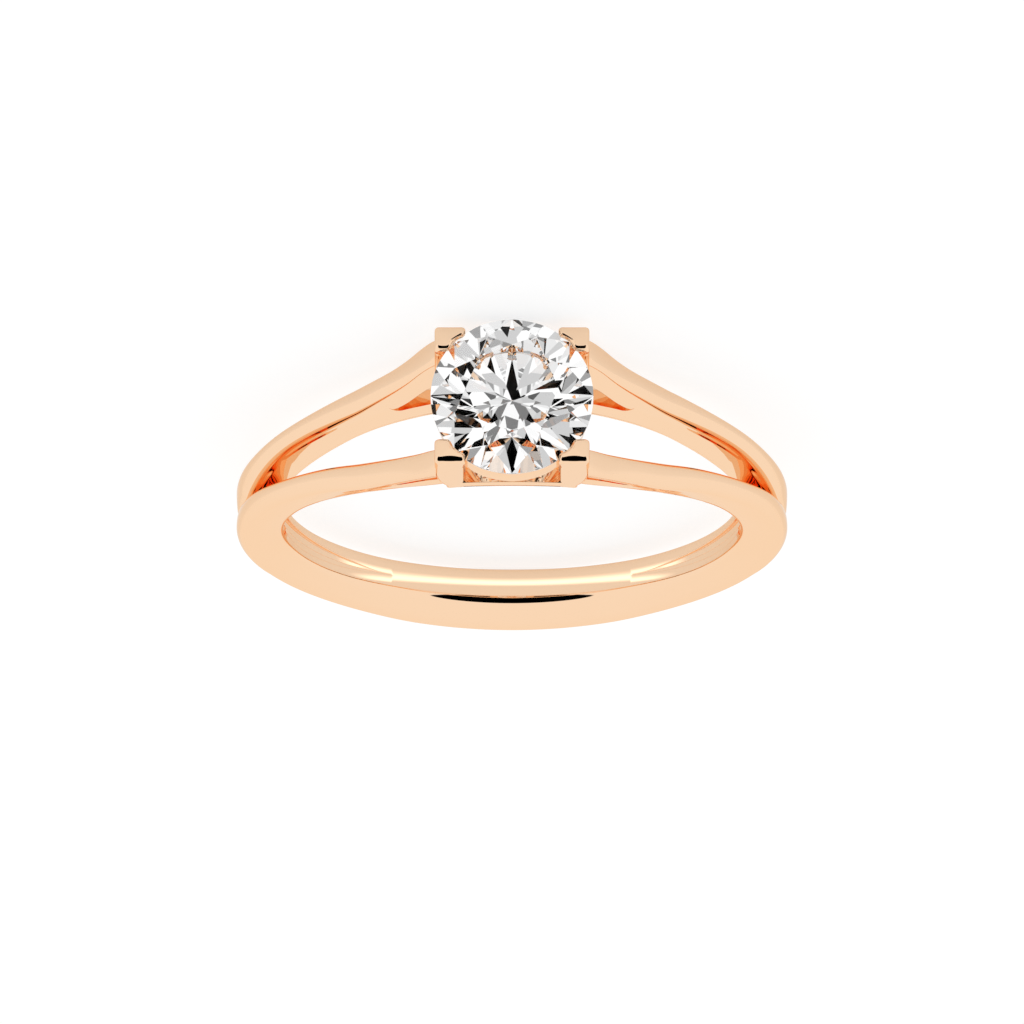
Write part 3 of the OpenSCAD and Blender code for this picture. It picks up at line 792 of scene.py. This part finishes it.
# Studio: pale glowing table, white dome, and a dark patch of it over the camera
studio = {
    "lookDown": 19.2,       # degrees above the head's own axis
    "frameWide": 37.0,      # millimetres across the picture
    "lens": 800,
    "sensor": 36,
    "domeLight": 0.97,
    "darkFrom": 26,         # degrees from the head's axis towards the camera's side
    "darkPatch": 38,        # degrees, half angle
    "darkSoft": 1.0,        # degrees over which its edge fades, to each side
    "floorSize": 2.0,       # metres, half of a side
    "floorPaint": "#959595",
    "floorGlow": 0.8,       # seen by the camera
    "paintedShadeNear": 0.65,  # painted shade: the table's glow seen in the metal, lower beside the ring
    "floorFar": 0.72,       # and far from it
    "farFrom": 0.03,        # metres from the table's middle
    "paintedPanels": 300,     # painted panels of light on the table, seen only through the stone, in a metre
    "panelGlow": 0.75,      # glow of the brightest
    "paintedSpotAt": -4.5,         # painted pool of light on the table inside the ring, seen in the metal: place along n
    "paintedSpotHalf": (1.8, 0.7),  # and its half sizes
    "paintedSpotLight": 0.9,
    "glowSoft": 0.9,        # how softly the painted pool of light and the painted shade fade, as a share of their half sizes
    "stonePanels": 7.0,     # panels of the light over the stone, across the dome
    "stoneSpread": 0.7,
    "stoneTones": ((0.0, 0.0), (0.17, 0.35), (0.24, 0.6), (0.38, 0.8), (0.6, 1.0)),   # (from, light)
    "stoneLight": 1.05,
    "stoneDark": 10,        # degrees, half angle of the viewer's head mirrored in the stone
    "stoneSoft": 0.8,
}


def tableTop():
    # Matt white table lit from below. The camera sees it evenly bright. The metal sees painted shade, a
    # glow that is lower beside the ring and grows away from it, and a painted pool of light inside the
    # ring. Seen through the stone it is a field of painted panels of light, some of them grey
    made, tree = newMaterial("paleTable")
    ray = addNode(tree, "ShaderNodeLightPath")
    where = addNode(tree, "ShaderNodeTexCoord")

    def spotOf(middle, half, low, high):
        # An ellipse on the table: high inside, low outside, with a soft step between
        soft = studio["glowSoft"]
        shift = addNode(tree, "ShaderNodeVectorMath", {1: middle}, {0: where.outputs["Object"]},
                        operation="SUBTRACT")
        scale = addNode(tree, "ShaderNodeVectorMath", {1: (1 / half[0], 1 / half[1], 0)},
                        {0: shift.outputs["Vector"]}, operation="MULTIPLY")
        length = addNode(tree, "ShaderNodeVectorMath", links={0: scale.outputs["Vector"]},
                         operation="LENGTH")
        fade = addNode(tree, "ShaderNodeMapRange", {
            "From Min": 1 - soft, "From Max": 1 + soft, "To Min": high, "To Max": low,
        }, {"Value": length.outputs["Value"]}, interpolation_type="SMOOTHSTEP")
        return fade.outputs["Result"]
    # painted pool of light: a glowing patch on the table inside the ring, which the metal mirrors as
    # highlights
    x, y, _ = place(0, studio["paintedSpotAt"], 0).tolist()
    far = studio["farFrom"]
    # painted shade: a soft round patch of lower glow about the ring, seen in the metal
    near = spotOf((0, 0, 0), (far, far), studio["floorFar"], studio["paintedShadeNear"])
    paintedSpot = spotOf((x, y, 0), [milli * half for half in studio["paintedSpotHalf"]], 0, studio["paintedSpotLight"])
    both = addNode(tree, "ShaderNodeMath", links={0: near, 1: paintedSpot}, operation="ADD")
    glow = addNode(tree, "ShaderNodeMapRange", {"To Max": studio["floorGlow"]},
                   {"To Min": both.outputs["Value"], "Value": ray.outputs["Is Camera Ray"]})
    # painted light: panels of glow, from black to bright, that only rays through the stone see
    panels = addNode(tree, "ShaderNodeTexVoronoi", {"Scale": studio["paintedPanels"]},
                     {"Vector": where.outputs["Object"]})
    level = addNode(tree, "ShaderNodeSeparateColor", links={"Color": panels.outputs["Color"]})
    tone = addNode(tree, "ShaderNodeMapRange", {
        "From Min": 0.2, "From Max": 0.6, "To Max": studio["panelGlow"],
    }, {"Value": level.outputs["Red"]})
    through = addNode(tree, "ShaderNodeMix", links={
        "Factor": ray.outputs["Is Transmission Ray"], "A": glow.outputs["Result"],
        "B": tone.outputs["Result"]})
    shader = addNode(tree, "ShaderNodeBsdfPrincipled", {
        "Base Color": fromHex(studio["floorPaint"]),
        "Roughness": 1.0,
        "Specular IOR Level": 0.0,
        "Emission Color": fromHex("#ffffff"),
    }, {"Emission Strength": through.outputs["Result"]})
    addNode(tree, "ShaderNodeOutputMaterial", links={"Surface": shader.outputs["BSDF"]})
    return made


def lightDome():
    # White dome. The metal sees a large dark opening over the camera, the stone a small one and panels
    # of different light, and the camera itself a plain white wall
    world = bpy.data.worlds.new("studioDome")
    bpy.context.scene.world = world
    world.use_nodes = True
    tree = world.node_tree
    tree.nodes.clear()
    where = addNode(tree, "ShaderNodeTexCoord")
    ray = addNode(tree, "ShaderNodeLightPath")

    def patch(front, half, soft, low, high):
        # Round patch of the dome, its middle front degrees from the head's axis towards the camera's
        # side. Gives low outside it and high inside
        g = math.radians(front)
        middle = place(0, math.cos(g), math.sin(g)) - place(0, 0, 0)
        dot = addNode(tree, "ShaderNodeVectorMath", {1: (middle / milli).tolist()},
                      {0: where.outputs["Generated"]}, operation="DOT_PRODUCT")
        edge = addNode(tree, "ShaderNodeMapRange", {
            "From Min": math.cos(math.radians(half + soft)),
            "From Max": math.cos(math.radians(half - soft)),
            "To Min": low, "To Max": high,
        }, {"Value": dot.outputs["Value"]}, interpolation_type="SMOOTHSTEP")
        return edge.outputs["Result"]
    onMetal = patch(studio["darkFrom"], studio["darkPatch"], studio["darkSoft"], studio["domeLight"], 0)
    inStone = patch(studio["lookDown"], studio["stoneDark"], studio["stoneSoft"], studio["stoneLight"], 0)
    # the stone's light box: flat panels, each with its own light, from white to black
    panels = addNode(tree, "ShaderNodeTexVoronoi", {
        "Scale": studio["stonePanels"], "Randomness": studio["stoneSpread"],
    }, {"Vector": where.outputs["Generated"]})
    level = addNode(tree, "ShaderNodeSeparateColor", links={"Color": panels.outputs["Color"]})
    tone = addNode(tree, "ShaderNodeValToRGB", links={"Fac": level.outputs["Red"]})
    stops = tone.color_ramp.elements
    tone.color_ramp.interpolation = "CONSTANT"
    for start, value in studio["stoneTones"]:
        stop = stops[0] if start == 0 else stops.new(start)
        stop.color = (value, value, value, 1)
    stops.remove(stops[-1])
    boxed = addNode(tree, "ShaderNodeMath", links={0: inStone, 1: tone.outputs["Color"]},
                    operation="MULTIPLY")
    light = addNode(tree, "ShaderNodeMix", links={
        "Factor": ray.outputs["Is Transmission Ray"], "A": onMetal, "B": boxed.outputs["Value"]})
    seen = addNode(tree, "ShaderNodeMix", {"B": 1.0},
                   {"Factor": ray.outputs["Is Camera Ray"], "A": light.outputs["Result"]})
    glow = addNode(tree, "ShaderNodeBackground", {"Color": fromHex("#ffffff")},
                   {"Strength": seen.outputs["Result"]})
    addNode(tree, "ShaderNodeOutputWorld", links={"Surface": glow.outputs["Background"]})


def placeCamera():
    # Over the head, and rolled so that the head is above the base, as in the picture
    lens = bpy.data.cameras.new("camera")
    lens.lens = studio["lens"]
    lens.sensor_width = studio["sensor"]
    camera = bpy.data.objects.new("camera", lens)
    bpy.context.scene.collection.objects.link(camera)
    a = math.radians(studio["lookDown"]) + restTilt
    back = Vector((0, -math.cos(a), math.sin(a)))
    up = Vector((0, -math.sin(a), -math.cos(a)))
    away = studio["frameWide"] * milli * studio["lens"] / studio["sensor"]
    turn = Matrix((up.cross(back), up, back)).transposed().to_4x4()
    camera.matrix_world = Matrix.Translation(Vector(place(0, 0, 0).tolist()) + back * away) @ turn
    bpy.context.scene.camera = camera


def layTable():
    size = studio["floorSize"]
    corners = [(-size, -size, 0), (size, -size, 0), (size, size, 0), (-size, size, 0)]
    mesh = bpy.data.meshes.new("floor")
    mesh.from_pydata(corners, [], [(0, 1, 2, 3)])
    floor = bpy.data.objects.new("floor", mesh)
    bpy.context.scene.collection.objects.link(floor)
    mesh.materials.append(tableTop())


materials = {"gold": roseGold(), "diamond": diamond(), "girdle": brutedGirdle()}
lightDome()
placeCamera()
layTable()
scene = bpy.context.scene
scene.view_settings.view_transform = "Standard"
scene.view_settings.look = "None"
# light goes to and fro many times between the wires where they part, and inside the stone
scene.cycles.max_bounces = 32
scene.cycles.glossy_bounces = 32
scene.cycles.transmission_bounces = 24
print("studio made")

parts = [makeWires()]
print("wires made")
parts += [makeProng(uSide, fSide) for uSide in (1, -1) for fSide in (1, -1)]
parts.append(makeGallery())
parts += [makeBar(side) for side in (1, -1)]
parts += [makeCrossBar(way) for way in (1, -1)]
print("head made")
for part in parts:
    part.data.materials.append(materials["gold"])
mount = joinPieces("goldMount", parts)
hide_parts("ring_mount")
brilliant = makeStone()
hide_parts("round_stone")
print("stone made")
